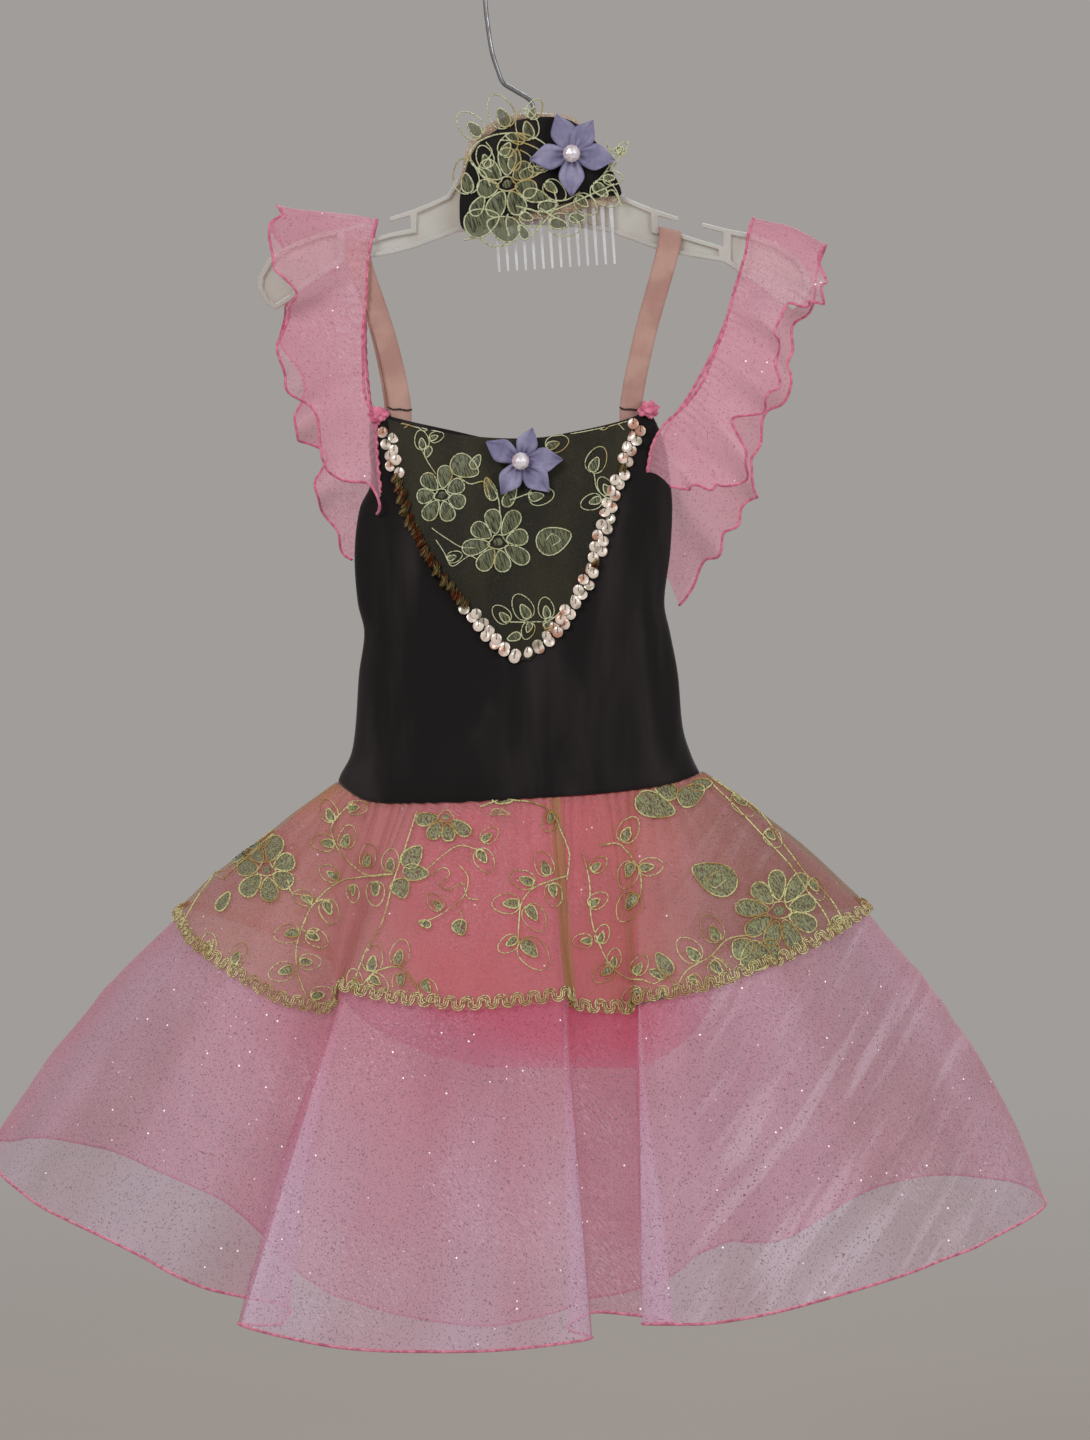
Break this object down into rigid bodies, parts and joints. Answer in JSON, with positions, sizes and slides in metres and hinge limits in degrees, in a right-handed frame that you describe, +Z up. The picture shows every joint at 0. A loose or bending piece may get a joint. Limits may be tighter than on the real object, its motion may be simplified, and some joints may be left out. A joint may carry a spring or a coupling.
{
  "type": "child's dance costume on a hanger",
  "caption": "Child's stage dance dress with velvet bodice, organza skirt, gold net peplum and shoulder ruffles, on a plastic hanger with its hair comb.",
  "frame": {"origin": "inside the top of the hook, where the rail carries it", "axes": "+Z up, the costume's front faces -Y, +X to the right as seen from the front"},
  "size_m": [0.6232, 0.2494, 0.8272],
  "materials": {
    "steel": "bright drawn wire",
    "hanger_plastic": "milky translucent moulded plastic",
    "elastic": "nude woven elastic",
    "velvet": "black stretch velvet with a soft sheen",
    "gold_insert": "gold net over black velvet",
    "lavender_organza": "lavender organza",
    "pearl": "faceted pearl bead",
    "pink_organza": "sheer pink organza with glitter",
    "brief_jersey": "pink stretch jersey",
    "gold_net": "sheer gold brown net",
    "gold_braid": "gold gimp braid",
    "clear_plastic": "clear moulded plastic",
    "green_lace": "green and gold corded lace"
  },
  "bodies": {
    "root": {"hook": "steel", "hanger": "hanger_plastic", "strap_left": "elastic", "strap_right": "elastic", "bodice_front": "velvet", "bodice_back": "velvet", "plastron": "gold_insert", "bodice_flower": "lavender_organza", "bodice_pearl": "pearl", "sleeve_ruffle_left": "pink_organza", "sleeve_ruffle_right": "pink_organza", "brief_front": "brief_jersey", "brief_back": "brief_jersey", "skirt_front": "pink_organza", "skirt_back": "pink_organza", "peplum_front": "gold_net", "peplum_back": "gold_net", "braid_front": "gold_braid", "braid_back": "gold_braid", "comb": "clear_plastic", "headpiece_backing": "elastic", "headpiece_base": "velvet", "headpiece_lace": "green_lace", "headpiece_flower": "lavender_organza", "headpiece_pearl": "pearl"}
  },
  "joints": []
}
